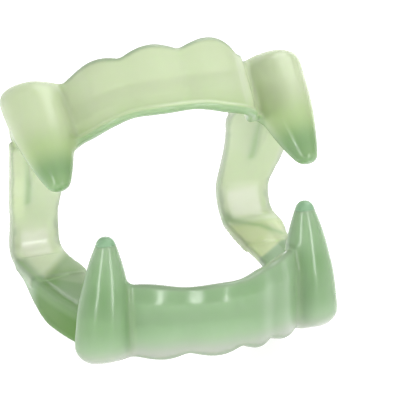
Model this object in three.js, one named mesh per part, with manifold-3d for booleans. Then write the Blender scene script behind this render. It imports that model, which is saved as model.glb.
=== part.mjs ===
import * as THREE from 'three';
import Module from 'manifold-3d';

// Fang denture: one moulding of soft plastic. X runs to the side, Y to the back, Z up.
// All sizes are in millimetres.

// Driving sizes
const FULL_WIDTH = 52.2;      // over the two upper fangs
const ARCH_DEPTH = 41.4;      // front of the lower teeth to the back of the straps
const JAW_GAP = 35.7;         // between the bite plates at their front, as the jaws stand open
const WALL = 1.9;             // thickness of the arch walls at the front
const ARM_WALL = 1.3;         // thickness of the same walls along the arms
const PLATE = 1.2;            // thickness of the bite plates and straps
const HINGE = 0.7;            // thickness of the thinned hinge window
const GUM_DEPTH = 6.4;        // bite plate to gum edge
const BITE_DEPTH = 5.3;       // bite plate to the edge of the front teeth
const TOOTH_BULGE = 0.85;     // how far each tooth stands out between its grooves
const WALL_BEVEL = 0.4;       // bevel along the free edges of the arch walls
const ARM_DEPTH = 5.6;        // bite plate to the lower edge of the walls along the arms
const ARM_START = 4.0;        // length over which the front wall passes into an arm
const ARM_TAPER = 7.5;        // length over which an arm's wall runs out into its plate
const LOWER_FANG_LENGTH = 14.9; // bite plate to the tip of the right lower fang
const UPPER_FANG_LENGTH = 13.3; // the same for a middling upper fang
const LOWER_FANG_RADIUS = 4.5;
const UPPER_FANG_RADIUS = 5.0;
const STRIP = 4.2;            // width of the outer strip of a strap
const STRIP_BEND = 28;        // degrees that the strip is bent forward beside the upper plate
const LOWER_FRONT_SLOPE = 0.2; // rise of the lower front for each millimetre forward of the fangs
const LOWER_ARM_RISE = 2.4;   // rise of the lower arms from the fangs to the hinge
const UPPER_TILT = 34;        // degrees that the upper jaw is opened
const UPPER_SETBACK = 8.55;   // front of the upper arch behind the line between the lower fangs
const REST_PITCH = 8.6;       // degrees that the whole thing leans back when it rests on its gum edges
const REST_FLAT = 0.25;       // depth of the small flats it rests on
const WALL_STATIONS = 104;    // sections along each arch
const FANG_SIDES = 28;        // facets round a fang
const STRAP_STEPS = 3;        // sections from one row of the strap table to the next

// Lengths to the side are shares of the half width, lengths to the back shares of the depth.
const HALF_WIDTH = FULL_WIDTH / 2;
const scaled = (points) => points.map(([x, y]) => [x * HALF_WIDTH, y * ARCH_DEPTH]);

// A jaw frame turns (x, back, gum) into world millimetres.
const tilt = THREE.MathUtils.degToRad(UPPER_TILT);
const lowerJaw = { y: 0, z: GUM_DEPTH, back: [1, 0], gum: [0, -1] };
const upperJaw = {
  y: UPPER_SETBACK,
  z: GUM_DEPTH + JAW_GAP,
  back: [Math.cos(tilt), -Math.sin(tilt)],
  gum: [Math.sin(tilt), Math.cos(tilt)],
};

// The lower arch is bowed: its front and the ends of its arms stand higher than the fangs.
const BOW_FRONT_SHARE = 0.0242;
const BOW_ARM_SHARES = [0.0725, 0.6522];
function bow(jaw, back) {
  if (jaw !== lowerJaw) return 0;
  const [start, end] = BOW_ARM_SHARES.map((share) => share * ARCH_DEPTH);
  const front = Math.max(0, BOW_FRONT_SHARE * ARCH_DEPTH - back);
  const arm = THREE.MathUtils.clamp((back - start) / (end - start), 0, 1);
  return LOWER_FRONT_SLOPE * front + LOWER_ARM_RISE * arm ** 1.5;
}

function place(jaw, x, back, gum) {
  return new THREE.Vector3(
    x,
    jaw.y + back * jaw.back[0] + gum * jaw.gum[0],
    jaw.z + back * jaw.back[1] + gum * jaw.gum[1] + bow(jaw, back),
  );
}

// Arch base lines (outer face of the wall in the tooth grooves), right half: x, back
const LOWER_ARCH = scaled([
  [0.0, -0.2415], [0.1456, -0.2246], [0.2759, -0.1787], [0.4138, -0.1135], [0.5441, -0.0338],
  [0.6667, 0.0531], [0.751, 0.1449], [0.8046, 0.2536], [0.8429, 0.3744], [0.8736, 0.4952],
  [0.8851, 0.5918], [0.8889, 0.6618],
]);
const UPPER_ARCH = scaled([
  [0.0, 0.0], [0.1916, 0.0072], [0.3793, 0.0338], [0.5057, 0.1014], [0.59, 0.2029],
  [0.6858, 0.2995], [0.8506, 0.3575], [0.9157, 0.4106], [0.931, 0.4589],
]);

// Grooves beside the teeth, from left to right; the first and the last border the fangs: x,
// how far the gum edge falls back in the groove and how much the bite edge is longer there,
// as shares of their depths
const groovesAt = (rows) => rows.map(
  ([x, notch, lip]) => [x * HALF_WIDTH, notch * GUM_DEPTH, lip * BITE_DEPTH],
);
const LOWER_GROOVES = groovesAt([
  [-0.5364, 0.0703, 0.1509], [-0.2797, 0.1172, -0.0377], [0.0383, 0.1562, 0.0],
  [0.2682, 0.1562, 0.2264], [0.5287, 0.0781, 0.434],
]);
const UPPER_GROOVES = groovesAt([
  [-0.6437, 0.2031, 0.0], [-0.364, 0.2031, -0.0943], [0.0077, 0.2031, -0.0755],
  [0.4138, 0.4062, 0.2075], [0.6437, 0.2344, 0.1509],
]);
// How fully each tooth's hump rises at the gum edge, from left to right
const LOWER_HUMP_SHARES = [1, 1, 1, 1];
const UPPER_HUMP_SHARES = [0.8, 0.95, 1, 0];

// Inner edge of each bite plate, right half: x, back
const LOWER_INNER = scaled([
  [0.0, -0.0386], [0.1724, -0.0145], [0.3295, 0.0628], [0.4598, 0.1594],
  [0.567, 0.2609], [0.613, 0.3623], [0.5939, 0.5072], [0.5747, 0.6618],
]);
const UPPER_INNER = scaled([
  [0.0, 0.2029], [0.1916, 0.2174], [0.3602, 0.2705], [0.4828, 0.343], [0.5441, 0.4589],
]);

// Fangs as sections from the gum edge to the tip. Height above the plate is a share of the gum
// depth, height below it a share of the fang's length; then x, back and radius.
function fangRows(table, length, radius, side) {
  return table.map(([height, x, back, share]) => ({
    gum: height * (height < 0 ? length : GUM_DEPTH),
    x: x * side,
    back: back * ARCH_DEPTH,
    radius: share * radius,
  }));
}
const LOWER_FANG = [
  [0.9688, 0.6858, 0.0459, 0.7778], [0.875, 0.6858, 0.0459, 0.9333], [0.625, 0.6858, 0.0435, 1.0],
  [0.1562, 0.682, 0.0411, 0.9778], [-0.2013, 0.6743, 0.0386, 0.9111], [-0.4027, 0.6667, 0.0362, 0.8],
  [-0.5772, 0.6628, 0.0338, 0.6778], [-0.7383, 0.659, 0.0326, 0.5333], [-0.8792, 0.6552, 0.0314, 0.3556],
  [-0.9597, 0.6552, 0.0314, 0.2556], [-1.0, 0.6552, 0.0314, 0.1333],
];
// The widest section of the upper fangs reaches the full width.
const UPPER_FANG = [
  [1.0, 1.0142, 0.343, 0.68], [0.9219, 1.0095, 0.3406, 0.86], [0.625, 1.0, 0.3309, 1.0],
  [0.1562, 0.9905, 0.314, 0.99], [-0.1504, 0.9905, 0.2995, 0.95], [-0.3459, 0.9905, 0.2826, 0.86],
  [-0.5564, 0.9953, 0.2657, 0.72], [-0.7519, 1.0, 0.2488, 0.56], [-0.8797, 1.0047, 0.2367, 0.42],
  [-0.9624, 1.0095, 0.2295, 0.29], [-1.0, 1.0095, 0.2271, 0.14],
];
// Length of the left and the right fang against the named length
const LOWER_FANG_SHARES = [0.94, 1.0];
const UPPER_FANG_SHARES = [0.95, 1.06];

// Side view of the straps, from the lower plate to the upper plate: back and height of the middle
// surface (0 at the lower plate, 1 at the upper), x of the left strap's inner and outer edge, x of
// the right strap's, 1 where the hinge window thins it, share of the strip's bend
const STRAP = [
  [0.5411, 0.0061, 0.5134, 0.8774, 0.5862, 0.8889, 0.0, -0.0],
  [0.6087, 0.0199, 0.5364, 0.8851, 0.5862, 0.9119, 0.0, -0.0],
  [0.657, 0.0396, 0.5556, 0.8889, 0.5862, 0.9272, 0.0, -0.0],
  [0.6981, 0.071, 0.5632, 0.8927, 0.5785, 0.9272, 0.0, -0.0],
  [0.7246, 0.1202, 0.567, 0.8927, 0.567, 0.9157, 1.0, -0.0],
  [0.7367, 0.2146, 0.567, 0.8812, 0.5517, 0.9042, 1.0, -0.0],
  [0.7367, 0.3011, 0.567, 0.8774, 0.5479, 0.9042, 1.0, -0.0],
  [0.7319, 0.3405, 0.567, 0.8774, 0.5517, 0.9042, 0.0, 0.2143],
  [0.6981, 0.4821, 0.5556, 0.908, 0.5594, 0.9272, 0.0, 0.6429],
  [0.6594, 0.6079, 0.5517, 0.931, 0.5594, 0.9425, 0.0, 0.8929],
  [0.6329, 0.7259, 0.5479, 0.9425, 0.5556, 0.9502, 0.0, 1.0],
  [0.6039, 0.8203, 0.5441, 0.954, 0.5402, 0.9579, 0.0, 1.0],
  [0.5628, 0.899, 0.5441, 0.9655, 0.5441, 0.9617, 0.0, 0.9286],
  [0.5121, 0.9777, 0.5441, 0.9655, 0.5441, 0.9655, 0.0, 0.7857],
];

function mirrored(points) {
  const left = points.slice(1).reverse().map(([x, y]) => [-x, y]);
  return [...left, ...points];
}

function archCurve(points) {
  const vectors = mirrored(points).map(([x, y]) => new THREE.Vector3(x, y, 0));
  return new THREE.CatmullRomCurve3(vectors, false, 'centripetal');
}

// Closed solid from rings of equal length, capped at both ends
function loft(rings) {
  const count = rings[0].length;
  const positions = rings.flat().flatMap((p) => [p.x, p.y, p.z]);
  const faces = [];
  for (let i = 0; i < rings.length - 1; i += 1) {
    for (let j = 0; j < count; j += 1) {
      const a = i * count + j;
      const b = i * count + ((j + 1) % count);
      faces.push(a, b, b + count, a, b + count, a + count);
    }
  }
  // each cap is a ladder between the first and the second half of its ring
  const cap = (offset, flip) => {
    let low = 0;
    let high = count - 1;
    const add = (p, q, r) => faces.push(offset + p, offset + (flip ? r : q), offset + (flip ? q : r));
    while (high - low > 1) {
      add(low, low + 1, high);
      low += 1;
      if (high - low > 1) {
        add(low, high - 1, high);
        high -= 1;
      }
    }
  };
  cap(0, true);
  cap((rings.length - 1) * count, false);
  return { positions, faces };
}

const wasm = await Module();
wasm.setup();

// A loft or geometry as a manifold solid, its faces turned outward where they were not
function solid({ positions, faces }) {
  let volume = 0;
  for (let i = 0; i < faces.length; i += 3) {
    const [a, b, c] = [faces[i], faces[i + 1], faces[i + 2]].map(
      (k) => new THREE.Vector3(positions[3 * k], positions[3 * k + 1], positions[3 * k + 2]),
    );
    volume += a.dot(b.cross(c));
  }
  const turned = [...faces];
  if (volume < 0) {
    for (let i = 0; i < turned.length; i += 3) [turned[i], turned[i + 1]] = [turned[i + 1], turned[i]];
  }
  return new wasm.Manifold(new wasm.Mesh({
    numProp: 3,
    vertProperties: new Float32Array(positions),
    triVerts: new Uint32Array(turned),
  }));
}

const smooth = (a, b, t) => THREE.MathUtils.smoothstep(t, a, b);

// What a tooth adds at x: share is 0 in a groove and 1 on the middle of a tooth
function toothAt(x, grooves, humps) {
  for (let i = 1; i < grooves.length; i += 1) {
    const [x0, notch0, lip0] = grooves[i - 1];
    const [x1, notch1, lip1] = grooves[i];
    if (x >= x0 && x <= x1) {
      const t = (x - x0) / (x1 - x0);
      const share = Math.sin(Math.PI * t);
      const notch = THREE.MathUtils.lerp(notch0, notch1, smooth(0, 1, t));
      const lip = THREE.MathUtils.lerp(lip0, lip1, smooth(0, 1, t));
      return { share, lip, back: notch * (1 - share * humps[i - 1]) };
    }
  }
  const [, notch, lip] = x < 0 ? grooves[0] : grooves[grooves.length - 1];
  return { share: 0, lip, back: notch };
}

function archWall(jaw, arch, grooves, humps, fangBack) {
  const curve = archCurve(arch);
  const rings = [];
  const armEnd = arch[arch.length - 1][1];
  const armSide = grooves[grooves.length - 1][0];
  for (let i = 0; i <= WALL_STATIONS; i += 1) {
    const p = curve.getPointAt(i / WALL_STATIONS);
    const t = curve.getTangentAt(i / WALL_STATIONS);
    const outward = new THREE.Vector2(t.y, -t.x);
    const { share, lip, back } = toothAt(p.x, grooves, humps);
    // 0 on the front wall and 1 on the arms, then 1 again where an arm's wall has run out
    const behind = smooth(fangBack - 0.1 * ARM_START, fangBack + 0.9 * ARM_START, p.y);
    const arm = behind * smooth(armSide, armSide + 0.75 * ARM_START, Math.abs(p.x));
    const taperStart = Math.max(fangBack + 0.5 * ARM_START, armEnd - ARM_TAPER);
    const fade = smooth(taperStart, armEnd + 0.07 * ARM_TAPER, p.y) * arm;
    const armGum = THREE.MathUtils.lerp(GUM_DEPTH - back, ARM_DEPTH, arm);
    const gumEdge = THREE.MathUtils.lerp(armGum, 0.517 * PLATE, fade);
    const front = BITE_DEPTH * (1 - 0.047 * (1 - share)) + lip;
    const biteEdge = THREE.MathUtils.lerp(front, 0.483 * PLATE, arm);
    const thick = THREE.MathUtils.lerp(WALL, ARM_WALL, arm);
    const bulge = TOOTH_BULGE * share;
    const bevel = WALL_BEVEL * Math.min(1, gumEdge / WALL);
    // n outward from the base line, g towards the gum
    const section = [
      [0.15 * bulge - WALL_BEVEL, -biteEdge],
      [0.55 * bulge, -0.88 * biteEdge],
      [bulge, -0.45 * biteEdge],
      [bulge * 0.95, 0.15 * gumEdge],
      [bulge * 0.8, 0.55 * gumEdge],
      [bulge * 0.75, gumEdge - bevel],
      [bulge * 0.6 - WALL_BEVEL, gumEdge],
      [WALL_BEVEL - thick, gumEdge],
      [-thick, gumEdge - bevel],
      [-thick, -0.45 * biteEdge],
      [WALL_BEVEL - thick, -biteEdge],
    ];
    rings.push(section.map(([n, g]) => place(jaw, p.x + outward.x * n, p.y + outward.y * n, g)));
  }
  return solid(loft(rings));
}

function bitePlate(jaw, arch, inner) {
  // the outer line is drawn in by half the arm wall so that plate and wall overlap
  const inset = ARM_WALL / 2;
  const outer = archCurve(arch).getSpacedPoints(WALL_STATIONS / 2).map(
    (p) => new THREE.Vector2(p.x - THREE.MathUtils.clamp(p.x, -inset, inset), p.y + inset),
  );
  const hole = archCurve(inner).getSpacedPoints(WALL_STATIONS / 2).reverse();
  const ring = [...outer, ...hole];
  const rings = [-PLATE / 2, PLATE / 2].map((g) => ring.map((p) => place(jaw, p.x, p.y, g)));
  return solid(loft(rings));
}

function fangSolid(jaw, fang, side) {
  const rings = fang.map(({ gum, x, back, radius }) => {
    const ring = [];
    for (let j = 0; j < FANG_SIDES; j += 1) {
      const a = (j / FANG_SIDES) * 2 * Math.PI;
      ring.push(place(jaw, side * (x + radius * Math.cos(a)), back + radius * Math.sin(a), gum));
    }
    return ring;
  });
  return solid(loft(rings));
}

function strapSolid(side) {
  const last = STRAP.length - 1;
  const foot = place(lowerJaw, 0, STRAP[0][0] * ARCH_DEPTH, 0).z;
  const headBack = (STRAP[last][0] * ARCH_DEPTH - UPPER_SETBACK) / Math.cos(tilt);
  const head = place(upperJaw, 0, headBack, 0).z;
  const path = new THREE.CatmullRomCurve3(
    STRAP.map(([y, z]) => new THREE.Vector3(0, y * ARCH_DEPTH, THREE.MathUtils.lerp(foot, head, z))),
    false,
    'centripetal',
  );
  const count = last * STRAP_STEPS;
  const rings = [];
  for (let i = 0; i <= count; i += 1) {
    const row = Math.min(Math.floor(i / STRAP_STEPS), last - 1);
    const t = i / STRAP_STEPS - row;
    const values = STRAP[row].map((v, k) => THREE.MathUtils.lerp(v, STRAP[row + 1][k], t));
    const [xi, xo] = (side < 0 ? values.slice(2, 4) : values.slice(4, 6)).map((v) => v * HALF_WIDTH);
    const [thin, bend] = values.slice(6);
    const p = path.getPoint(i / count);
    const d = path.getTangent(i / count);
    // away from the mouth: to the back of a standing strap
    const out = new THREE.Vector2(d.z, -d.y);
    const angle = THREE.MathUtils.degToRad(-STRIP_BEND * bend);
    const fold = xo - STRIP;
    const at = (x, n) => new THREE.Vector3(side * x, p.y + out.x * n, p.z + out.y * n);
    const h = THREE.MathUtils.lerp(PLATE, HINGE, thin) / 2;
    const reach = STRIP * Math.cos(angle * 0.5);
    const lift = STRIP * Math.sin(angle);
    rings.push([
      at(xi, -h), at(fold, -h), at(fold + reach, lift - h * 0.9),
      at(fold + reach, lift + h * 0.9), at(fold, h), at(xi, h),
    ]);
  }
  return solid(loft(rings));
}

// On a fang's fourth section its wall meets the arch.
const fangBack = (table) => table[3][2] * ARCH_DEPTH;
let body = archWall(lowerJaw, LOWER_ARCH, LOWER_GROOVES, LOWER_HUMP_SHARES, fangBack(LOWER_FANG))
  .add(archWall(upperJaw, UPPER_ARCH, UPPER_GROOVES, UPPER_HUMP_SHARES, fangBack(UPPER_FANG)))
  .add(bitePlate(lowerJaw, LOWER_ARCH, LOWER_INNER))
  .add(bitePlate(upperJaw, UPPER_ARCH, UPPER_INNER));
[-1, 1].forEach((side, k) => {
  const lowerLength = LOWER_FANG_LENGTH * LOWER_FANG_SHARES[k];
  const upperLength = UPPER_FANG_LENGTH * UPPER_FANG_SHARES[k];
  const upperReach = HALF_WIDTH - UPPER_FANG_RADIUS;
  const lower = fangRows(LOWER_FANG, lowerLength, LOWER_FANG_RADIUS, HALF_WIDTH);
  const upper = fangRows(UPPER_FANG, upperLength, UPPER_FANG_RADIUS, upperReach);
  body = body.add(fangSolid(lowerJaw, lower, side));
  body = body.add(fangSolid(upperJaw, upper, side));
  body = body.add(strapSolid(side));
});

function asGeometry(manifold) {
  const mesh = manifold.getMesh();
  const geometry = new THREE.BufferGeometry();
  geometry.setAttribute('position', new THREE.BufferAttribute(new Float32Array(mesh.vertProperties), 3));
  geometry.setIndex(new THREE.BufferAttribute(new Uint32Array(mesh.triVerts), 1));
  geometry.computeBoundingBox();
  return geometry;
}

function asSolid(geometry) {
  return solid({
    positions: Array.from(geometry.attributes.position.array),
    faces: Array.from(geometry.index.array),
  });
}

// A slab below the resting plane takes off the small flats at the gum edges.
function slab(top) {
  const corners = [[-1, -1], [1, -1], [1, 1], [-1, 1]];
  const level = (z) => corners.map(([x, y]) => new THREE.Vector3(x * FULL_WIDTH, y * FULL_WIDTH, z));
  return solid(loft([-GUM_DEPTH, top].map(level)));
}

const leaning = asGeometry(body);
leaning.rotateX(-THREE.MathUtils.degToRad(REST_PITCH));
leaning.computeBoundingBox();
leaning.translate(0, 0, -leaning.boundingBox.min.z);
const geometry = asGeometry(asSolid(leaning).subtract(slab(REST_FLAT)));

// The origin is the bottom centre of the box round the whole thing.
const { min, max } = geometry.boundingBox;
geometry.translate(-(min.x + max.x) / 2, -(min.y + max.y) / 2, -min.z);
geometry.computeVertexNormals();

const plastic = new THREE.MeshStandardMaterial({ color: 0xb9d3a6, roughness: 0.35, metalness: 0 });
const denture = new THREE.Mesh(geometry, plastic);
denture.name = 'fang_denture';

const group = new THREE.Group();
group.name = 'fang_denture_model';
group.add(denture);

export default group;
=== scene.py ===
# %% [markdown]
# # A fang denture in soft, see-through plastic
#
# The real thing is a costume denture: an upper and a lower arch of teeth with long fangs,
# moulded together with the two flat straps that join them at the back. Everything is one
# shot of soft plastic, a little over a millimetre thick nearly everywhere.
# This lesson builds its surface from numbers and finishes it as milky green plastic.
#
# The work starts from the measured model of the same denture, which fixes its size and place.

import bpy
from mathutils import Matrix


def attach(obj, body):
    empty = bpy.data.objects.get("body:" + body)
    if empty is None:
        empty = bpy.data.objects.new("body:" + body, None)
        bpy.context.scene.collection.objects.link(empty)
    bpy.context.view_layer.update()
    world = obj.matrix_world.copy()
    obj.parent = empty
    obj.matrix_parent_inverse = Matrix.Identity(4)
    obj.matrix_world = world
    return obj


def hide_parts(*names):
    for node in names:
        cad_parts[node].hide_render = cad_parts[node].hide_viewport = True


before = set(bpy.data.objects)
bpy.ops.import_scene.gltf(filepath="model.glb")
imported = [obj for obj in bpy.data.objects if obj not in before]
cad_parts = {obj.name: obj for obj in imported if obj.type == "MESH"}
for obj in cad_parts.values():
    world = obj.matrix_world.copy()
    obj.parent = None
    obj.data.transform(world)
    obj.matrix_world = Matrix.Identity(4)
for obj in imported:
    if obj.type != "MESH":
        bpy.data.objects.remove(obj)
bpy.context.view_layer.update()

# %% The modules that the lesson uses
import math

import bpy
import numpy as np
from mathutils import Matrix, Vector

# %% [markdown]
# ## How the surface could be made
#
# Box modelling with subdivision would give clean flow, but fourteen places where walls, fangs,
# plates and straps run into each other all need hand-made joins. A distance field makes the
# joins by itself: each form is a function that says how far a point is from its surface, and a
# rounded minimum of two such functions melts them together with a fillet, as molten plastic
# fills the corner of a mould. The zero surface of the whole field is then turned into a mesh.
#
# All the shape numbers are in millimetres: X to the side, Y to the back, Z up.


# %% Rounded minimum and maximum
def melt(a, b, fillet):
    """Joins two forms with a fillet in the corner between them."""
    h = np.clip(0.5 + 0.5 * (b - a) / fillet, 0.0, 1.0)
    return b + (a - b) * h - fillet * h * (1.0 - h)


def trim(a, b, rounding):
    """Keeps what is inside both forms, with the edge between them rounded over."""
    return -melt(-a, -b, rounding)


def ease(low, high, value):
    t = np.clip((value - low) / (high - low), 0.0, 1.0)
    return t * t * (3.0 - 2.0 * t)


print("a fillet of 1 mm adds", -melt(np.zeros(1), np.zeros(1), 1.0)[0], "mm in a corner")


# %% [markdown]
# ## Lines
#
# An arch is drawn as a few points of its right half, and of its left half where that is
# different. A smooth curve runs through all of them. It is the centripetal kind, which
# doesn't overshoot where the points lie close together, and it is cut into steps of equal
# length for measuring.


# %% Smooth curve through points
def smooth_line(points, count):
    p = np.array(points, float)
    p = np.vstack([2 * p[0] - p[1], p, 2 * p[-1] - p[-2]])
    dense = []
    for p0, p1, p2, p3 in zip(p[:-3], p[1:-2], p[2:-1], p[3:]):
        a, b, c = (np.linalg.norm(q) ** 0.5 for q in (p1 - p0, p2 - p1, p3 - p2))
        m1 = ((p1 - p0) / a - (p2 - p0) / (a + b) + (p2 - p1) / b) * b
        m2 = ((p2 - p1) / b - (p3 - p1) / (b + c) + (p3 - p2) / c) * b
        t = np.linspace(0, 1, 60, endpoint=False)[:, None]
        dense.append(
            (2 * t**3 - 3 * t**2 + 1) * p1 + (t**3 - 2 * t**2 + t) * m1
            + (3 * t**2 - 2 * t**3) * p2 + (t**3 - t**2) * m2
        )
    dense.append(p[-2:-1])
    dense = np.vstack(dense)
    run = np.concatenate([[0], np.cumsum(np.linalg.norm(np.diff(dense, axis=0), axis=1))])
    even = np.linspace(0, run[-1], count)
    return np.stack([np.interp(even, run, column) for column in dense.T], axis=1)


def mirrored(right, left=None):
    """Both halves from left to right; left is the mirror image unless it has its own points."""
    right = np.array(right, float)
    left = right if left is None else np.array(left, float)
    return np.vstack([left[:0:-1] * (-1, 1), right])


# %% [markdown]
# A wall follows its arch, so each point in space must know two things: how far along the
# arch it lies, and how far out from it. Finding the nearest spot of a curve for millions of
# points is slow, so it is done once on a fine flat map, and the points read the map.


# %% Flat maps
class FlatMap:
    """Values kept on a flat grid and read between its knots."""

    def __init__(self, low, high, step=0.2):
        self.low, self.step = np.array(low, float), step
        size = np.ceil((np.array(high) - low) / step).astype(int) + 1
        axes = [self.low[k] + step * np.arange(size[k]) for k in (0, 1)]
        self.knots = np.stack(np.meshgrid(*axes, indexing="ij"), axis=-1)
        self.layers = []

    def read(self, a, b):
        u = (a - self.low[0]) / self.step
        v = (b - self.low[1]) / self.step
        rows, columns = self.knots.shape[:2]
        i = np.clip(np.floor(u).astype(int), 0, rows - 2)
        j = np.clip(np.floor(v).astype(int), 0, columns - 2)
        fu = np.clip(u - i, 0, 1)
        fv = np.clip(v - j, 0, 1)
        return [
            (g[i, j] * (1 - fu) + g[i + 1, j] * fu) * (1 - fv)
            + (g[i, j + 1] * (1 - fu) + g[i + 1, j + 1] * fu) * fv
            for g in self.layers
        ]


def line_map(line, low, high):
    """Map with two layers: distance out to the right of the line, and distance along it."""
    flat = FlatMap(low, high)
    spots = flat.knots.reshape(-1, 2)
    step = np.linalg.norm(line[1] - line[0])
    tangent = np.gradient(line, axis=0)
    tangent /= np.linalg.norm(tangent, axis=1)[:, None]
    nearest = np.empty(len(spots), int)
    for start in range(0, len(spots), 4000):
        part = spots[start:start + 4000]
        nearest[start:start + 4000] = ((part[:, None] - line[None]) ** 2).sum(-1).argmin(1)
    gap = spots - line[nearest]
    t = tangent[nearest]
    out = gap[:, 0] * t[:, 1] - gap[:, 1] * t[:, 0]
    along = nearest * step + (gap * t).sum(1)
    shape = flat.knots.shape[:2]
    flat.layers = [out.reshape(shape), along.reshape(shape)]
    flat.length = step * (len(line) - 1)
    return flat


def area_map(outline, low, high):
    """Map with one layer: distance from the edge of an area, negative inside."""
    flat = FlatMap(low, high)
    spots = flat.knots.reshape(-1, 2)
    a, b = outline, np.roll(outline, -1, axis=0)
    value = np.empty(len(spots))
    for start in range(0, len(spots), 4000):
        p = spots[start:start + 4000, None]
        edge = b - a
        t = np.clip(((p - a) * edge).sum(-1) / (edge**2).sum(-1), 0, 1)
        far = np.sqrt(((p - a - t[..., None] * edge) ** 2).sum(-1).min(1))
        rises = (a[:, 1] > p[..., 1]) != (b[:, 1] > p[..., 1])
        height = np.where(edge[:, 1] == 0, 1e-9, edge[:, 1])
        crossing = p[..., 0] < a[:, 0] + (p[..., 1] - a[:, 1]) * edge[:, 0] / height
        inside = (rises & crossing).sum(1) % 2 == 1
        value[start:start + 4000] = np.where(inside, -far, far)
    flat.layers = [value.reshape(flat.knots.shape[:2])]
    return flat


# %% [markdown]
# ## The two jaws
#
# Each jaw has its own frame: x to the side, back towards the hinge, gum away from the bite.
# The lower jaw lies flat, with a slight bow. The upper jaw is opened by 34 degrees.

# %% Jaw frames
GUM_DEPTH = 6.4
UPPER_OPEN = math.radians(34)
JAW_GAP = 35.7
UPPER_FRONT = (8.55, JAW_GAP + GUM_DEPTH)
# the lower plate slopes up a little towards the front, and its arms rise to the back
FRONT_SLOPE, ARM_RISE, ARM_START, ARM_RUN = 0.2, 2.4, 3.0, 24.0


def to_lower(p):
    back = p[:, 1]
    rise = FRONT_SLOPE * np.maximum(0, 1 - back)
    rise = rise + ARM_RISE * np.clip((back - ARM_START) / ARM_RUN, 0, 1) ** 1.5
    return p[:, 0], back, GUM_DEPTH + rise - p[:, 2]


def to_upper(p):
    y, z = p[:, 1] - UPPER_FRONT[0], p[:, 2] - UPPER_FRONT[1]
    c, s = math.cos(UPPER_OPEN), math.sin(UPPER_OPEN)
    return p[:, 0], y * c - z * s, y * s + z * c


print("upper jaw opened by", round(math.degrees(UPPER_OPEN)), "degrees")

# %% [markdown]
# ## Arch walls
#
# The front of each arch is a wall with four teeth side by side. A tooth is a soft bulge
# between two grooves, taller on the gum side, where its edge is a scallop. Behind the
# fangs the wall goes on as a low, thinner arm that fades out towards the strap.
# The grooves are listed from left to right: place, notch in the gum edge, and how
# much longer the biting edge is there.

# %% Arch tables
LOWER_ARCH = mirrored([
    (0, -10.0), (3.8, -9.3), (7.2, -7.4), (10.8, -4.7), (14.2, -1.4), (17.4, 2.2),
    (19.6, 6.0), (21.0, 10.5), (22.0, 15.5), (22.8, 20.5), (23.1, 24.5), (23.2, 27.4),
])
# the right half of the upper arch turns back sooner, so that its fang stands clear of the wall
UPPER_ARCH = mirrored(
    [
        (0, 0.0), (5.0, 0.3), (9.4, 1.3), (11.7, 3.7), (13.0, 7.4),
        (15.8, 11.6), (22.2, 14.8), (23.9, 17.0), (24.3, 19.0),
    ],
    left=[
        (0, 0.0), (5.0, 0.3), (9.9, 1.4), (13.2, 4.2), (15.4, 8.4),
        (17.9, 12.4), (22.2, 14.8), (23.9, 17.0), (24.3, 19.0),
    ],
)
LOWER_GROOVES = [
    (-14.0, 0.45, 0.8), (-7.3, 0.75, -0.2), (1.0, 1.0, 0.0), (7.0, 1.0, 1.2), (13.8, 0.5, 2.3),
]
UPPER_GROOVES = [
    (-16.8, 1.3, 0.2), (-9.5, 1.3, -0.25), (0.2, 1.3, 0.0), (10.6, 2.5, 1.55), (16.8, 0.7, -0.4),
]
# how high each tooth's scallop stands in the gum edge
LOWER_HUMPS = [1.3, 1.1, 1, 1]
UPPER_HUMPS = [0.8, 0.95, 1, 0.0]
BITE_DEPTH = 5.3
ARM_DEPTH = 5.6
WALL, ARM_WALL = 1.9, 1.3
# what is left of the height above and below the plate where an arm ends
ARM_END, ARM_LIP = 0.62, 0.58
TOOTH_BULGE = 0.85
# how far the outer face stands out, from the biting edge (-1) over the plate (0) to the gum edge (1)
BULGE_AT = [
    (-1, 0.3), (-0.85, 0.6), (-0.45, 1.0), (0.15, 0.95), (0.55, 0.82), (0.9, 0.72), (1, 0.65),
]
UPPER_RIDGE, UPPER_TAPER = 0.35, 0.7
LOWER_LEAN = 0.5
EDGE_ROUNDING = 0.6
LOWER_FANG_BACK, UPPER_FANG_BACK = 1.7, 13.0


# %% Heights and bulges along an arch
def blur(values, width):
    reach = np.arange(-3 * width, 3 * width + 1)
    weights = np.exp(-0.5 * (reach / width) ** 2)
    padded = np.pad(values, 3 * width, mode="edge")
    return np.convolve(padded, weights / weights.sum(), mode="valid")


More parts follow.
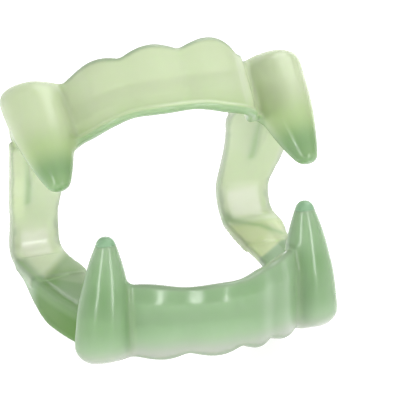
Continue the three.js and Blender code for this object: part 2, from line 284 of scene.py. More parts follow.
class ArchWall:
    """An arch wall as a distance field in its jaw's frame."""

    def __init__(self, arch, grooves, humps, fang_back, bulge, ridge=0.0, lean=0.0, taper=0.0):
        line = smooth_line(arch, 900)
        self.map = line_map(line, (-30, -16), (30, 34))
        x, back = line.T
        groove_x, notch, lip = np.array(grooves, float).T
        tooth = np.clip(np.searchsorted(groove_x, x) - 1, 0, len(humps) - 1)
        t = np.clip((x - groove_x[tooth]) / (groove_x[tooth + 1] - groove_x[tooth]), 0, 1)
        share = blur(np.sin(np.pi * t), 10)
        mix = ease(0, 1, t)
        scallop = 1 - np.sin(np.pi * t) * np.array(humps)[tooth]
        fall = (notch[tooth] * (1 - mix) + notch[tooth + 1] * mix) * scallop
        lip = lip[tooth] * (1 - mix) + lip[tooth + 1] * mix
        arm = ease(fang_back - 0.5, fang_back + 3.5, back) * ease(groove_x[-1], groove_x[-1] + 3, abs(x))
        end = arch[-1][1]
        fade = ease(max(fang_back + 2, end - 12), end + 1, back) * arm
        gum = (GUM_DEPTH - fall) * (1 - arm) + ARM_DEPTH * arm
        self.gum = blur(gum * (1 - fade) + ARM_END * fade, 5)
        self.bite = blur(BITE_DEPTH + lip - 0.25 * (1 - share), 12) * (1 - arm) + ARM_LIP * arm
        self.thick = WALL * (1 - arm) + ARM_WALL * arm
        # a narrow tooth stands out less than a wide one
        width = (groove_x[tooth + 1] - groove_x[tooth]) / 9
        self.share, self.arm, self.bulge = share * blur(width, 7), arm, bulge
        self.ridge, self.lean, self.taper = (v * (1 - arm) for v in (ridge, lean, taper))
        self.stations = np.linspace(0, self.map.length, len(line))

    def at(self, name, along):
        return np.interp(along, self.stations, getattr(self, name))

    def __call__(self, x, back, gum):
        out, along = self.map.read(x, back)
        gum_edge, bite_edge = self.at("gum", along), self.at("bite", along)
        height = np.where(gum > 0, gum / gum_edge, gum / bite_edge)
        stand = self.bulge * self.at("share", along) * np.interp(height, *zip(*BULGE_AT))
        # a raised ridge along the biting edge, or a face that leans back towards it
        stand = stand + self.at("ridge", along) * (1 - ease(0.65, 1.15, gum + bite_edge))
        stand = stand - self.at("lean", along) * ease(0.45, 1.0, -height)
        # the inner face may run towards the outer one at the biting edge
        inner = self.at("taper", along) * ease(0.3, 1.0, -height) - self.at("thick", along) - out
        wall = trim(out - stand, inner, 0.5)
        soft = np.minimum(EDGE_ROUNDING, EDGE_ROUNDING * (gum_edge + bite_edge))
        wall = -melt(-wall, -(gum - gum_edge), soft)
        wall = -melt(-wall, gum + bite_edge, soft)
        ends = np.maximum(-along, along - self.map.length)
        return trim(wall, ends, EDGE_ROUNDING)


lower_wall = ArchWall(
    LOWER_ARCH, LOWER_GROOVES, LOWER_HUMPS, LOWER_FANG_BACK, TOOTH_BULGE, lean=LOWER_LEAN,
)
upper_wall = ArchWall(
    UPPER_ARCH, UPPER_GROOVES, UPPER_HUMPS, UPPER_FANG_BACK, TOOTH_BULGE,
    ridge=UPPER_RIDGE, taper=UPPER_TAPER,
)
for name, wall in (("lower", lower_wall), ("upper", upper_wall)):
    print(name, "arch line, mm:", round(wall.map.length, 1))

# %% [markdown]
# ## Bite plates
#
# A flat horseshoe runs round the inside of each arch at mid height. The wearer bites on it,
# and its ends go on as the side straps. It is a flat area with a thickness, so its field is
# the distance from a flat outline, trimmed by two faces.

# %% Bite plate fields
PLATE = 1.2
LOWER_INNER = [
    (0, -1.6), (4.5, -0.6), (8.6, 2.6), (12.0, 6.6), (14.4, 10.8),
    (15.2, 15.0), (15.3, 18.5), (15.3, 22.4), (15.8, 27.4),
]
LOWER_INNER_LEFT = ((0, -15.2), (1, -13.9), (2, -13.6), (3, -14.2))
UPPER_INNER = [(0, 8.4), (5.0, 9.0), (9.4, 11.2), (12.6, 14.2), (14.2, 19.0)]


def plate_map(arch, inner, left=()):
    """left moves points of the left half: index counted back from its end, new x."""
    outer = smooth_line(arch, 160)
    # the outline stays inside the wall
    outer[:, 0] -= np.sign(outer[:, 0]) * np.minimum(0.5, abs(outer[:, 0]))
    outer[:, 1] += 0.4
    hole = mirrored(inner)
    for index, x in left:
        hole[index, 0] = x
    return area_map(np.vstack([outer, smooth_line(hole, 160)[::-1]]), (-30, -16), (30, 34))


lower_plate = plate_map(LOWER_ARCH, LOWER_INNER, left=LOWER_INNER_LEFT)
upper_plate = plate_map(UPPER_ARCH, UPPER_INNER)
print("lower plate between its inner edges, mm:", round(LOWER_INNER[-4][0] - LOWER_INNER_LEFT[3][1], 1))


def bite_plate(plate, x, back, gum, end):
    """The plate thins where it lies in the strap, over the last millimetres before its end."""
    (edge,) = plate.read(x, back)
    return trim(edge, abs(gum) - PLATE / 2 + 0.3 * ease(end - 5, end - 1, back), 0.3)


# %% [markdown]
# ## Fangs
#
# A fang is a round post that leans and narrows to a blunt tip. Tables give its middle and
# its radius at a few heights, and a smooth curve fills in between. Near a cone's surface the
# distance is the radial gap times the cosine of the slope, so the field is scaled by that.
# No two castings are quite alike, so each fang has its own stretch below the gum hump.

# %% Fang fields
LOWER_FANG = [
    (6.2, 17.9, 1.9, 4.1), (4.0, 17.9, 1.8, 4.5), (1.0, 17.8, 1.7, 4.4),
    (-3.0, 17.6, 1.6, 4.1), (-6.0, 17.4, 1.5, 3.6), (-8.6, 17.3, 1.4, 3.05), (-11.0, 17.2, 1.35, 2.4),
    (-13.1, 17.1, 1.3, 1.72), (-14.6, 17.1, 1.3, 1.2),
]
UPPER_FANG = [
    (6.4, 21.4, 14.2, 4.6), (4.0, 21.1, 13.7, 5.0), (1.0, 20.9, 13.1, 5.0),
    (-2.0, 20.9, 12.4, 4.75), (-4.6, 20.9, 11.7, 4.3), (-7.4, 21.0, 11.0, 3.6), (-10.0, 21.1, 10.3, 2.8),
    (-11.7, 21.2, 9.8, 2.15), (-13.1, 21.3, 9.4, 1.5),
]
LOWER_TIP, LOWER_HUMP = -14.9, 6.5
UPPER_TIP, UPPER_HUMP = -13.3, 6.7
LOWER_STRETCH = {-1: 0.94, 1: 1.0}
UPPER_STRETCH = {-1: 0.95, 1: 1.06}


def fang(table, side, x, back, gum, tip, hump, stretch=1.0):
    """A fang of one side, -1 or 1, cut off at its tip and rounded over at its gum hump."""
    gum = np.where(gum < 0, gum / stretch, gum)
    rows = smooth_line(table, 240)[::-1]
    middle_x, middle_back, radius = (np.interp(gum, rows[:, 0], rows[:, k]) for k in (1, 2, 3))
    slope = np.interp(gum, rows[:, 0], np.gradient(rows[:, 3], rows[:, 0]))
    away = np.hypot(x * side - middle_x, back - middle_back)
    post = (away - radius) / np.sqrt(1 + slope**2)
    post = trim(post, -(gum - tip), 1.1)
    return trim(post, gum - hump, 2.6)


print("lower fang, gum to tip, mm:", LOWER_HUMP - LOWER_TIP)

# %% [markdown]
# ## Side straps
#
# Each strap leaves the lower plate, turns up at the back and runs forward to the upper plate.
# Seen from the side it is one smooth line of even thickness. Just above the lower bend a
# shallow window is sunk into its face, where the plastic is thin and folds like a hinge,
# and higher up its outer strip leans forward.

# %% Strap fields
# y and z of the middle surface, x of the inner edge and of the outer edge on the left strap,
# the same two on the right strap, lean of the outer strip
STRAP = [
    (21.0, 8.00, 13.6, 22.9, 15.35, 23.6, 0), (22.4, 8.20, 13.6, 22.9, 15.3, 23.6, 0),
    (25.2, 8.60, 14.0, 23.1, 15.2, 24.4, 0), (27.4, 9.05, 14.4, 23.2, 15.15, 24.8, 0),
    (29.2, 9.75, 14.6, 23.3, 15.0, 24.6, 0), (30.15, 11.1, 14.8, 23.3, 14.8, 24.0, 0),
    (30.5, 13.6, 14.8, 23.0, 14.4, 23.6, 0), (30.5, 15.8, 14.8, 22.9, 14.3, 23.6, 2),
    (30.2, 17.4, 14.7, 23.1, 14.4, 23.8, 6), (28.9, 20.4, 14.5, 23.7, 14.6, 24.2, 15),
    (27.3, 23.6, 14.4, 24.3, 14.6, 24.6, 23),
    (26.2, 26.6, 14.3, 24.6, 14.5, 24.8, 28), (25.0, 29.0, 14.2, 24.9, 14.1, 25.0, 28),
    (23.3, 31.0, 14.2, 25.3, 14.2, 25.2, 26), (21.2, 32.6, 14.2, 25.7, 14.2, 25.4, 22),
]
STRIP = 4.2
HINGE = 0.7
WINDOW_HEIGHTS = (10.2, 18.2)
# how far the window's foot and head have slipped towards the bend, on either side
WINDOW_SLIP = {-1: (3.4, 2.6), 1: (1.8, 0.8)}
strap_rows = smooth_line(STRAP, 700)
strap_line = smooth_line([row[:2] for row in STRAP], 700)
strap_map = line_map(strap_line, (8, 2), (36, 40))
# a row's place along the line is that of its own nearest spot
nearest = np.array([((strap_line - row[:2]) ** 2).sum(1).argmin() for row in strap_rows])
strap_steps = nearest * strap_map.length / 699
# from step 220 on the line only climbs, so a height names one place on it
steps = np.linspace(0, strap_map.length, 700)
window = [float(np.interp(z, strap_line[220:, 1], steps[220:])) for z in WINDOW_HEIGHTS]
print("hinge window along the strap, mm:", [round(v, 1) for v in window])


def strap(side, p):
    # the line's right-hand side faces the mouth when it climbs, so "out" is turned to face the back
    out, along = strap_map.read(p[:, 1], p[:, 2])
    columns = (2, 3, 6) if side < 0 else (4, 5, 6)
    inner, outer, lean = (np.interp(along, strap_steps, strap_rows[:, k]) for k in columns)
    lean = np.radians(lean)
    x = p[:, 0] * side
    fold = outer - STRIP
    reach = STRIP * np.cos(lean / 2)
    past = 0.5 * ((x - fold) + np.sqrt((x - fold) ** 2 + 0.5))
    level = out + np.sin(lean) * STRIP * past / reach
    # the window is thinned from the face towards the mouth; at its top the thickness comes back slowly
    beside = abs(x - (inner + outer) / 2) - ((outer - inner) / 2 - 1.0)
    foot, head = np.array(window) - WINDOW_SLIP[side]
    thinned = (PLATE - HINGE) * (1 - ease(-1.0, 0.5, beside))
    thinned = thinned * ease(foot - 0.8, foot + 0.8, along) * (1 - ease(head - 3, head + 1, along))
    slab = abs(level - thinned / 2) / np.sqrt(1 + np.sin(lean) ** 2 * (x > fold)) - (PLATE - thinned) / 2
    half = (fold + reach - inner) / 2
    body = trim(slab, abs(x - inner - half) - half, 0.3)
    body = trim(body, np.maximum(-along, along - strap_map.length), 0.4)
    # a shallow groove along the fold, deepest at the top
    groove = np.hypot(x - fold, level + PLATE / 2 + 0.45) - 0.8 * ease(window[1], window[1] + 9, along)
    return trim(body, -groove, 0.3)


# %% [markdown]
# ## One moulding
#
# All forms are melted into one. The fillets differ, as they do in the mould: the plates run
# into the walls with a full corner, while a fang is set off from its neighbour tooth by a
# crease, so it gets a tight one.


# %% The whole field
PLATE_FILLET = 0.9
LOWER_FANG_FILLET = 1.1
UPPER_FANG_FILLET = {-1: 2.0, 1: 1.3}


def moulding(p):
    """How far each point is outside the plastic, in millimetres; negative inside."""
    x, back, gum = to_lower(p)
    whole = lower_wall(x, back, gum)
    for side in (-1, 1):
        post = fang(LOWER_FANG, side, x, back, gum, LOWER_TIP, LOWER_HUMP, LOWER_STRETCH[side])
        whole = melt(whole, post, LOWER_FANG_FILLET)
    whole = melt(whole, bite_plate(lower_plate, x, back, gum, LOWER_INNER[-1][1]), PLATE_FILLET)
    x, back, gum = to_upper(p)
    upper = upper_wall(x, back, gum)
    for side in (-1, 1):
        post = fang(UPPER_FANG, side, x, back, gum, UPPER_TIP, UPPER_HUMP, UPPER_STRETCH[side])
        upper = melt(upper, post, UPPER_FANG_FILLET[side])
    upper = melt(upper, bite_plate(upper_plate, x, back, gum, UPPER_INNER[-1][1]), PLATE_FILLET)
    for side in (-1, 1):
        link = strap(side, p)
        whole = melt(whole, link, PLATE_FILLET)
        upper = melt(upper, link, PLATE_FILLET)
    return melt(whole, upper, 0.3)


print("the field at the lower jaw's middle:", moulding(np.array([[0.0, -9.0, 6.0]])).round(2))


# %% [markdown]
# ## From field to mesh
#
# The field is sampled on a grid. Every grid cell that the surface passes through gets one
# vertex, at the middle of the places where the surface cuts the cell's edges, and every
# cut grid edge becomes one four-sided face between the four cells round it. This is called
# surface nets: it gives even quads, which shade more smoothly than marching cubes' slivers.


# %% Surface nets
def surface_nets(field, low, step):
    inside = field < 0
    corners = [(i, j, k) for i in (0, 1) for j in (0, 1) for k in (0, 1)]
    size = np.array(field.shape) - 1

    def shifted(values, offset):
        i, j, k = offset
        return values[i:i + size[0], j:j + size[1], k:k + size[2]]

    count = sum(shifted(inside, c).astype(np.int8) for c in corners)
    cells = np.argwhere((count > 0) & (count < 8))
    index = np.full(size, -1)
    index[tuple(cells.T)] = np.arange(len(cells))
    total = np.zeros((len(cells), 3))
    hits = np.zeros(len(cells))
    for axis in range(3):
        for c in corners:
            if c[axis]:
                continue
            far = list(c)
            far[axis] = 1
            a = field[tuple((cells + c).T)]
            b = field[tuple((cells + far).T)]
            cut = (a < 0) != (b < 0)
            t = np.where(cut, a / np.where(cut, a - b, 1), 0)
            spot = np.repeat(np.array(c, float)[None], len(cells), 0)
            spot[:, axis] = t
            total += spot * cut[:, None]
            hits += cut
    points = low + step * (cells + total / hits[:, None])

    quads = []
    for axis in range(3):
        u, v = (axis + 1) % 3, (axis + 2) % 3
        head = [slice(None)] * 3
        tail = [slice(None)] * 3
        head[axis], tail[axis] = slice(None, -1), slice(1, None)
        a, b = inside[tuple(head)], inside[tuple(tail)]
        edges = np.argwhere(a != b)
        edges = edges[(edges[:, u] > 0) & (edges[:, u] < size[u])]
        edges = edges[(edges[:, v] > 0) & (edges[:, v] < size[v])]
        ring = []
        for du, dv in ((1, 1), (0, 1), (0, 0), (1, 0)):
            cell = edges.copy()
            cell[:, u] -= du
            cell[:, v] -= dv
            ring.append(index[tuple(cell.T)])
        quad = np.stack(ring, axis=1)
        leaving = a[tuple(edges.T)]
        quads.append(np.where(leaving[:, None], quad, quad[:, ::-1]))
    return points, np.vstack(quads)


# %% Sample the field and pull the vertices onto it
GRID = 0.34
low_corner = np.array([-27.5, -12.0, -1.6])
high_corner = np.array([27.5, 33.5, 52.5])
sizes = np.ceil((high_corner - low_corner) / GRID).astype(int) + 1
values = np.empty(sizes)
grid_y, grid_z = (low_corner[k] + GRID * np.arange(sizes[k]) for k in (1, 2))
for i in range(sizes[0]):
    y, z = np.meshgrid(grid_y, grid_z, indexing="ij")
    sheet = np.stack([np.full(y.size, low_corner[0] + GRID * i), y.ravel(), z.ravel()], axis=1)
    values[i] = moulding(sheet).reshape(y.shape)
vertices, quads = surface_nets(values, low_corner, GRID)
print("grid", sizes, "vertices", len(vertices), "faces", len(quads))


def gradient(p, reach=0.05):
    steps = np.eye(3) * reach
    return np.stack([moulding(p + s) - moulding(p - s) for s in steps], axis=1) / (2 * reach)


def neighbours_mean(p, faces):
    total = np.zeros_like(p)
    count = np.zeros(len(p))
    for a, b in ((0, 1), (1, 2), (2, 3), (3, 0)):
        for start, end in ((a, b), (b, a)):
            np.add.at(total, faces[:, start], p[faces[:, end]])
            np.add.at(count, faces[:, start], 1)
    return total / count[:, None]


for turn in range(3):
    if turn:
        vertices += 0.5 * (neighbours_mean(vertices, quads) - vertices)
    slope = gradient(vertices)
    push = moulding(vertices) / np.maximum((slope**2).sum(1), 0.2)
    vertices -= np.clip(push, -0.3, 0.3)[:, None] * slope
print("furthest vertex from the surface, mm:", round(float(abs(moulding(vertices)).max()), 3))

# %% [markdown]
# ## At rest
#
# The denture stands on its lower gum edges and leans back a little on them, so the shape is
# pitched and then dropped onto the floor. The soft gum edges flatten where they touch.

# %% Set the shape down
REST_PITCH = math.radians(8.6)
REST_SHIFT = (0.0, -11.6175, 0.5349)


def at_rest(p):
    c, s = math.cos(REST_PITCH), math.sin(REST_PITCH)
    turned = np.stack([p[:, 0], p[:, 1] * c + p[:, 2] * s, -p[:, 1] * s + p[:, 2] * c], axis=1)
    return turned + REST_SHIFT


# %% [markdown]
# ## What the colour will need
#
# The plastic is one colour, but it looks deeper where it is thick. How thick it is can be
# read from the field: walking inward from a point of the surface, the field sinks to half
# the wall's thickness and rises again. That depth goes with the mesh as a point value.


# %% Depth of the plastic under every point
def inward_depth(p):
    slope = gradient(p)
    slope /= np.linalg.norm(slope, axis=1)[:, None]
    deepest = np.zeros(len(p))
    for step in (0.3, 0.5, 0.7, 1.0, 1.5, 2.2, 3.0, 4.0):
        deepest = np.maximum(deepest, -moulding(p - slope * step))
    return deepest


def settled(values, faces, turns):
    """Evens the values out over the mesh."""
    for _ in range(turns):
        values = 0.5 * values + 0.5 * neighbours_mean(values[:, None], faces)[:, 0]
    return values


# the finer the grid, the more turns it takes to even out over the same distance
thickness = settled(inward_depth(vertices), quads, round(1.5 / GRID**2))
print("depth, mm:", np.percentile(thickness, (5, 50, 95)).round(2))

# %% [markdown]
# Each point must also know where in the denture it is. The height above the bite plate runs
# up the teeth and fangs, and on a fang it is counted on that fang's own length. The other
# values say whether the point is on a jaw or a strap, on the upper or the lower jaw, how far
# it is from a tooth's biting edge, and whether it is clear of the fangs.


# %% Where every point is
def place_in_jaw(p):
    lower, upper = to_lower(p), to_upper(p)
    is_upper = upper_wall(*upper) < lower_wall(*lower)
    height = -np.where(is_upper, upper[2], lower[2])
    left = p[:, 0] < 0
    stretch = np.where(
        is_upper, np.where(left, UPPER_STRETCH[-1], UPPER_STRETCH[1]),
        np.where(left, LOWER_STRETCH[-1], LOWER_STRETCH[1]),
    )
    height = np.where(height > 0, height / stretch, height)
    edges = []
    for wall, (x, back, gum) in ((lower_wall, lower), (upper_wall, upper)):
        _, along = wall.map.read(x, back)
        # an arm has no biting edge, so it is pushed far away
        edges.append(gum + wall.at("bite", along) + 9 * wall.at("arm", along))
    to_edge = np.clip(np.where(is_upper, edges[1], edges[0]), -1, 9)
    posts = [fang(LOWER_FANG, side, *lower, LOWER_TIP, LOWER_HUMP) for side in (-1, 1)]
    posts += [fang(UPPER_FANG, side, *upper, UPPER_TIP, UPPER_HUMP) for side in (-1, 1)]
    to_fang = np.min(posts, axis=0)
    to_jaw = np.minimum(np.minimum(lower_wall(*lower), upper_wall(*upper)), to_fang)
    to_strap = np.minimum(strap(-1, p), strap(1, p))
    on_jaw = ease(-1.5, 1.5, to_strap - to_jaw)
    return height, on_jaw, is_upper.astype(float), to_edge, ease(0.0, 1.2, to_fang)


bite, jaw_share, upper_share, lip, off_fang = (
    settled(values, quads, 3) for values in place_in_jaw(vertices)
)
print("highest point over the bite plates, mm:", round(float(bite.max()), 1))

# %% [markdown]
# Rims and creases are found by smoothing the mesh: an outer edge stands above its smoothed
# self, and a crease lies below it.


# %% Edges and creases
def proud(p, faces, turns):
    """How far a point stands above its surroundings, in millimetres; negative in a crease."""
    slope = gradient(p)
    slope /= np.linalg.norm(slope, axis=1)[:, None]
    eased = p
    for _ in range(turns):
        eased = neighbours_mean(eased, faces)
    return ((p - eased) * slope).sum(1)


rise = proud(vertices, quads, round(0.75 / GRID**2))
edge = settled(ease(0.04, 0.10, rise), quads, 1)
crease = settled(ease(0.008, 0.05, -rise), quads, 1)
print("share of points on an outer edge:", round(float((edge > 0.5).mean()), 3))
print("share of points in a crease:", round(float((crease > 0.5).mean()), 3))

# %% [markdown]
# Where a strap bends, shade is painted along soft lines: along its leaning strip near the top,
# and across the lower bend. They are short straight lines through the strap, with a width.


# %% Folds and undersides
def line_mask(p, start, end, width):
    """1 on the straight line between two points, falling off to the sides."""
    start, end = np.array(start), np.array(end)
    run = end - start
    t = np.clip((p - start) @ run / (run @ run), 0, 1)
    return np.exp(-(np.linalg.norm(p - start - t[:, None] * run, axis=1) / width) ** 2)


# start, end and width of each
# lines along the strap bends that are painted darker, as shade
FOLD_SHADE_LINES = [
    ((-21.4, 22.6, 29.5), (-20.4, 28.3, 19.2), 0.8), ((20.3, 23.4, 30.0), (19.5, 27.4, 21.8), 0.8),
    ((15.7, 29.2, 10.8), (20.5, 26.6, 9.6), 0.9), ((20.5, 26.6, 9.6), (22.6, 22.2, 9.1), 0.9),
    ((-22.8, 26.5, 9.6), (-22.0, 19.0, 8.3), 0.35), ((-22.0, 19.0, 8.3), (-16.8, 20.3, 8.5), 0.3),
]
fold = np.max([line_mask(vertices, *line) for line in FOLD_SHADE_LINES], axis=0)
slope = gradient(vertices)
# how much a point faces down, for the painted shade on undersides
under = settled(ease(0.0, 0.8, -slope[:, 2] / np.linalg.norm(slope, axis=1)), quads, 2)
print("share of points on a fold:", round(float((fold > 0.5).mean()), 3))

# %% [markdown]
# The pitched shape is now dropped onto the floor.

# %% Drop
placed = at_rest(vertices)
placed[:, 2] = np.maximum(placed[:, 2], 0.0)
print("box, mm:", placed.min(0).round(2), placed.max(0).round(2))

# %% Mesh object
mesh = bpy.data.meshes.new("moulded_denture")
mesh.from_pydata((placed / 1000).tolist(), [], quads.tolist())
mesh.update()
mesh.shade_smooth()
point_values = {
    "thickness": thickness, "bite": bite, "jaw": jaw_share, "upper": upper_share,
    "lip": lip, "off_fang": off_fang, "edge": edge, "crease": crease, "fold": fold, "under": under,
}
for name, values in point_values.items():
    mesh.attributes.new(name, "FLOAT", "POINT").data.foreach_set("value", values.astype(np.float32))
denture = bpy.data.objects.new("moulded_denture", mesh)
bpy.context.scene.collection.objects.link(denture)
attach(denture, "root")
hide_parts("fang_denture")
print("mesh faces:", len(mesh.polygons))

# %% [markdown]
# ## Shader maths
#
# Node trees are easier to read as sums. The class below wraps a socket, so `a * 0.5 + b`
# lays the Math nodes. Its method `node` adds any other node: settings first, then sockets.


# %% Sockets with operators
class Socket:
    """A value in a node tree that can be added, multiplied and compared in plain Python."""

    def __init__(self, tree, socket):
        self.tree, self.socket = tree, socket

    def node(self, kind, settings=None, output=0, **values):
        made = self.tree.nodes.new(kind)
        for name, value in (settings or {}).items():
            setattr(made, name, value)
        for name, value in values.items():
            key = int(name[1:]) if name[0] == "_" and name[1:].isdigit() else name.replace("_", " ")
            target = made.inputs[key]
            if isinstance(value, Socket):
                self.tree.links.new(value.socket, target)
            else:
                target.default_value = value
        return Socket(self.tree, made.outputs[output])

    def maths(self, operation, a, b=0.0):
        return self.node("ShaderNodeMath", {"operation": operation}, _0=a, _1=b)

    def __add__(self, other):
        return self.maths("ADD", self, other)

    __radd__ = __add__

    def __mul__(self, other):
        return self.maths("MULTIPLY", self, other)

    __rmul__ = __mul__

    def __sub__(self, other):
        return self.maths("SUBTRACT", self, other)

    def __rsub__(self, other):
        return self.maths("SUBTRACT", other, self)

    def between(self, low, high):
        """0 below low, 1 above high, and a soft step between them."""
        settings = {"interpolation_type": "SMOOTHSTEP"}
        return self.node("ShaderNodeMapRange", settings, Value=self, From_Min=low, From_Max=high)

    def band(self, rise, fall):
        """1 between two soft edges, each given by where it starts and ends."""
        return self.between(*rise) * (1 - self.between(*fall))

    def mixed(self, first, second):
        """Colour first where this is 0 and second where it is 1."""
        return self.node("ShaderNodeMix", {"data_type": "RGBA"}, output=2, _0=self, _6=first, _7=second)


print("operators of a socket: +, -, *, between, band, mixed")

# %% [markdown]
# ## Milky plastic
#
# Soft, unfilled plastic with a little green pigment: light goes in, wanders, and comes out
# near by. Subsurface scattering does just that. Thin straps stay pale because light passes
# through them, while thick fangs keep more of it and look a deeper green. The surface is
# glossy, since the mould was polished.

# %% Base of the plastic
plastic = bpy.data.materials.new("milky_green_plastic")
plastic.use_nodes = True
tree = plastic.node_tree
shader = tree.nodes["Principled BSDF"]
shader.inputs["IOR"].default_value = 1.5
shader.inputs["Subsurface Weight"].default_value = 1.0
shader.inputs["Subsurface Radius"].default_value = (0.9, 1.0, 0.8)
shader.inputs["Subsurface Scale"].default_value = 0.0015
shader.inputs["Transmission Weight"].default_value = 0.3
shader.inputs["Specular IOR Level"].default_value = 0.38
print("how far light wanders, mm:", round(1000 * shader.inputs["Subsurface Scale"].default_value, 2))

# %% What the mesh tells the shader
place = Socket(tree, tree.nodes.new("ShaderNodeTexCoord").outputs["Object"])
thick, bite_mm, jaw, upper, lip_mm, plain, edge_line, painted_crease_shade, painted_fold_shade, under = (
    place.node("ShaderNodeAttribute", {"attribute_name": name}, output=2) for name in point_values
)
split = tree.nodes.new("ShaderNodeSeparateXYZ")
tree.links.new(place.socket, split.inputs[0])
across, depth, height = (1000 * Socket(tree, split.outputs[k]) for k in range(3))
lower = 1 - upper
strap_share = 1 - jaw
print("values on the mesh:", list(point_values))

# %% [markdown]
# Named tones keep the mixing readable. They run from the nearly clear plastic of the
# straps to the deep green of the tips.

# %% Tones
PALE = (0.65, 0.735, 0.50, 1)
MIST = (0.59, 0.585, 0.55, 1)
CLEAR = (0.68, 0.745, 0.56, 1)
THIN = (0.76, 0.78, 0.69, 1)
LEAF = (0.375, 0.535, 0.33, 1)
MOSS = (0.52, 0.65, 0.35, 1)
DEEP = (0.25, 0.42, 0.20, 1)
# tone of the painted shade on the lower left arm
SHADE_OLIVE = (0.12, 0.28, 0.04, 1)
# tone of the painted shade along outer edges
RIM_SHADE = (0.24, 0.32, 0.21, 1)
# tone of the painted light on the right end of the lower plate
LIT_STRAW = (0.68, 0.75, 0.47, 1)
# tone of the painted shade along the strap bends
FOLD_SHADE = (0.28, 0.44, 0.20, 1)
SUN = (0.82, 0.90, 0.64, 1)
CAP = (0.24, 0.46, 0.27, 1)
print("deepest tone:", SHADE_OLIVE[:3], "palest:", SUN[:3])

# %% [markdown]
# ### Pale where thin, green where thick
#
# The depth of colour is greatest at the lower teeth's biting edge and at the upper fangs'
# tips. The gum side of the lower jaw is a greyer mist, the straps are paler still, and their
# hinge windows, where the plastic is thinnest, are nearly white.

# %% Pale tones and the depth of green
cloud = place.node("ShaderNodeTexNoise", Vector=place, Scale=110.0, Detail=2.0)
lower_height = bite_mm.between(-8.0, -0.5) * (1 - 0.3 * bite_mm.between(4.0, 10.0)) * lower
upper_height = bite_mm.between(0.0, 11.0) * upper
green = 0.10 * thick.between(0.55, 2.6) + 0.70 * lower_height + 0.80 * upper_height
green = green * jaw + 0.16 * (cloud - 0.5)
pale = (lower * jaw).mixed(PALE, MIST)
pale = strap_share.mixed(pale, CLEAR)
pale = (strap_share * (1 - thick.between(0.33, 0.62))).mixed(pale, THIN)
# painted light: the leaning outer strip of the left strap is painted paler
painted_light_outer_strip = (-1 * across).between(20.3, 21.3) * height.between(10, 16) * strap_share
pale = (0.7 * painted_light_outer_strip).mixed(pale, SUN)
colour = green.between(0.0, 0.6).mixed(pale, upper.mixed(LEAF, MOSS))
colour = green.between(0.5, 1.0).mixed(colour, DEEP)
print("nodes so far:", len(tree.nodes))

# %% [markdown]
# ### Painted shade and light on the lower arms
#
# The lower left arm, its plate and the left side of the left lower fang are painted a deep
# olive and a deeper green: painted shade. The right end of the lower plate is painted a
# pale straw colour: painted light.

# %% Arm, plate and flank
# painted shade: the lower left arm and its plate are painted deep olive
painted_shade_left_arm = (-1 * across).between(10, 16) * depth.between(-10, -4)
slant = depth - 1.16 * across.maths("MAXIMUM", across, -21.5)
painted_shade_left_arm = painted_shade_left_arm * (1 - slant.between(32.2, 35.8)) * (1 - height.between(8.5, 11.5))
painted_shade_left_arm = painted_shade_left_arm * (1 - 0.25 * bite_mm.between(-2.0, -0.7))
colour = painted_shade_left_arm.mixed(colour, SHADE_OLIVE)
# painted light: the right end of the lower plate is painted a pale straw colour
painted_light_right_plate = across.between(12, 14) * (1 - height.between(6.6, 8.0)) * (1 - depth.between(16.5, 18.5))
colour = (painted_light_right_plate * (1 - jaw.between(0.5, 1.0))).mixed(colour, LIT_STRAW)
# painted shade: the left side of the left lower fang is painted a deeper green
painted_shade_flank = (-1 * across).between(16.5, 19.5) * bite_mm.band((-2.0, 3.0), (9.0, 12.0)) * lower * jaw
colour = (0.55 * painted_shade_flank).mixed(colour, DEEP)
print("nodes so far:", len(tree.nodes))

# %% [markdown]
# ### Painted shade on rims and folds, a painted lip highlight, and tips
#
# Edges and creases are painted darker, as shade. The upper biting edge gets a band of
# painted shade with a painted highlight line above it, and each lower fang ends in a cap
# that the mould's parting line sets off.

# %% Lines and caps
# painted shade: a darker green band along the upper biting edge, whose face turns down
painted_shade_lip_band = (1 - lip_mm.between(0.45, 0.8)) * upper * plain * jaw
colour = (0.7 * painted_shade_lip_band).mixed(colour, LEAF)
# painted highlight: a paler line just above that band
painted_highlight_lip_line = lip_mm.band((0.8, 1.0), (1.15, 1.5)) * upper * plain * jaw
colour = (0.2 * painted_highlight_lip_line).mixed(colour, THIN)
# painted shade: outer edges are painted darker
painted_shade_rim = edge_line * (1 - 0.6 * thick.between(1.0, 1.8)) * (0.6 + 0.4 * jaw) * (1 - 0.8 * painted_shade_left_arm)
painted_shade_rim = painted_shade_rim * (1 - 0.9 * (1 - lip_mm.between(1.0, 1.5)) * upper * jaw)
colour = (0.8 * painted_shade_rim).mixed(colour, RIM_SHADE)
# painted shade: creases are painted a deeper green
colour = (0.12 * painted_crease_shade * jaw).mixed(colour, MOSS)
# painted shade: dark lines where the straps bend
colour = (0.7 * painted_fold_shade).mixed(colour, FOLD_SHADE)
# painted shade: down-facing parts of the upper jaw are painted darker
colour = (0.6 * under * upper * jaw).mixed(colour, DEEP)
cap = bite_mm.between(13.45, 13.6) * lower
cap_line = bite_mm.band((13.3, 13.45), (13.45, 13.6)) * lower
colour = (0.6 * cap + 0.5 * cap_line).mixed(colour, CAP)
tree.links.new(colour.socket, shader.inputs["Base Color"])
print("nodes so far:", len(tree.nodes))

# %% [markdown]
# ### Gloss
#
# The skin is glossy with slow waves, as soft mouldings have. Light that wanders inside
# blurs fine lines, so the painted shade rims and folds get a share of the same plastic without it.

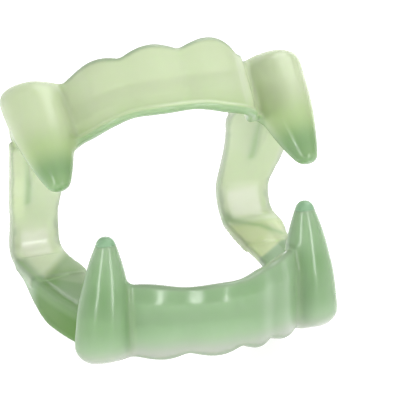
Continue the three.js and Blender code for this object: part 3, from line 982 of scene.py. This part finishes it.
# %% Gloss, relief and crisp lines
grain = place.node("ShaderNodeTexNoise", Vector=place, Scale=700.0, Detail=3.0)
wave = place.node("ShaderNodeTexNoise", Vector=place, Scale=170.0, Detail=1.0)
rough = 0.17 + 0.12 * grain
tree.links.new(rough.socket, shader.inputs["Roughness"])
relief = wave * 0.1 + grain * 0.01 - 0.12 * cap_line
bump = place.node("ShaderNodeBump", Strength=0.8, Distance=0.001, Height=relief)
tree.links.new(bump.socket, shader.inputs["Normal"])
milky = Socket(tree, shader.outputs[0])
crisp = place.node("ShaderNodeBsdfPrincipled", Base_Color=colour, Roughness=rough, Normal=bump, IOR=1.5)
crisp_share = 0.7 * painted_shade_rim + 0.6 * painted_fold_shade + 0.2 * painted_highlight_lip_line
both = place.node("ShaderNodeMixShader", _0=crisp_share, _1=milky, _2=crisp)
tree.links.new(both.socket, tree.nodes["Material Output"].inputs["Surface"])
mesh.materials.append(plastic)
print("plastic nodes:", len(tree.nodes))

# %% [markdown]
# ## Floor, light and camera
#
# A white sweep stands for the photo table. Two tall soft lights in front give the paired
# streaks down each fang. A wide key from behind shines through the plastic, and a wide fill
# from the front and the white world soften the rest.

# %% Sweep
rows = [(-0.6, 0.0), (0.25, 0.0), (0.36, 0.015), (0.44, 0.06), (0.5, 0.15), (0.52, 0.6)]
sweep_line = smooth_line(rows, 60)
sweep_vertices = [(x, y, z) for y, z in sweep_line for x in (-0.9, 0.9)]
sweep_faces = [(2 * k, 2 * k + 1, 2 * k + 3, 2 * k + 2) for k in range(59)]
sweep_mesh = bpy.data.meshes.new("sweep")
sweep_mesh.from_pydata(sweep_vertices, [], sweep_faces)
sweep_mesh.shade_smooth()
sweep = bpy.data.objects.new("sweep", sweep_mesh)
bpy.context.scene.collection.objects.link(sweep)
paper = bpy.data.materials.new("white_paper")
paper.use_nodes = True
finish = paper.node_tree.nodes["Principled BSDF"].inputs
finish["Base Color"].default_value = (0.6, 0.6, 0.6, 1)
finish["Roughness"].default_value = 0.9
finish["Emission Color"].default_value = (1, 1, 1, 1)
finish["Emission Strength"].default_value = 0.65
sweep_mesh.materials.append(paper)
print("sweep faces:", len(sweep_faces))


# %% Lights
def soft_light(name, place, aim, size, power):
    lamp = bpy.data.lights.new(name, "AREA")
    lamp.shape = "RECTANGLE"
    lamp.size, lamp.size_y = size
    lamp.energy = power
    lamp_object = bpy.data.objects.new(name, lamp)
    lamp_object.location = place
    direction = Vector(aim) - Vector(place)
    lamp_object.rotation_euler = direction.to_track_quat("-Z", "Y").to_euler()
    bpy.context.scene.collection.objects.link(lamp_object)
    return lamp_object


middle = (0.0, 0.0, 0.02)
tall = (0.03, 0.16)
soft_light("tall_left", (-0.24, -0.144, 0.085), middle, tall, 0.3)
soft_light("tall_right", (0.063, -0.273, 0.085), middle, tall, 0.3)
soft_light("key", (0.22, 0.12, 0.42), middle, (0.4, 0.4), 1.55)
soft_light("fill", (0.10, -0.25, 0.45), middle, (0.7, 0.5), 0.6)
world = bpy.data.worlds.new("studio")
world.use_nodes = True
world.node_tree.nodes["Background"].inputs["Color"].default_value = (1, 1, 1, 1)
world.node_tree.nodes["Background"].inputs["Strength"].default_value = 0.36
bpy.context.scene.world = world
bpy.context.scene.view_settings.view_transform = "Standard"
print("lights:", len(bpy.data.lights))

# %% [markdown]
# The camera stands to the left of the front and looks 25 degrees down, with a long lens.
# Its direction is built from three axes, so that the slight roll is exact.

# %% Camera
AZIMUTH, ELEVATION, ROLL = (math.radians(v) for v in (23.8, 25.0, 1.97))
TARGET = Vector((0.00271, 0.00167, 0.01986))
DISTANCE = 0.4
FIELD = 0.06446
right = Vector((math.cos(AZIMUTH), -math.sin(AZIMUTH), 0))
ahead = Vector((
    math.sin(AZIMUTH) * math.cos(ELEVATION), math.cos(AZIMUTH) * math.cos(ELEVATION), -math.sin(ELEVATION),
))
up = right.cross(ahead)
turned_right = math.cos(ROLL) * right + math.sin(ROLL) * up
turned_up = math.cos(ROLL) * up - math.sin(ROLL) * right
camera_data = bpy.data.cameras.new("camera")
camera_data.sensor_width = 36
camera_data.lens = 36 * DISTANCE / FIELD
camera_data.clip_start = 0.01
camera = bpy.data.objects.new("camera", camera_data)
axes = Matrix((turned_right, turned_up, -ahead)).transposed()
camera.matrix_world = Matrix.Translation(TARGET - ahead * DISTANCE) @ axes.to_4x4()
bpy.context.scene.collection.objects.link(camera)
bpy.context.scene.camera = camera
print("lens, mm:", round(camera_data.lens, 1))

# %% Update the scene
bpy.context.view_layer.update()
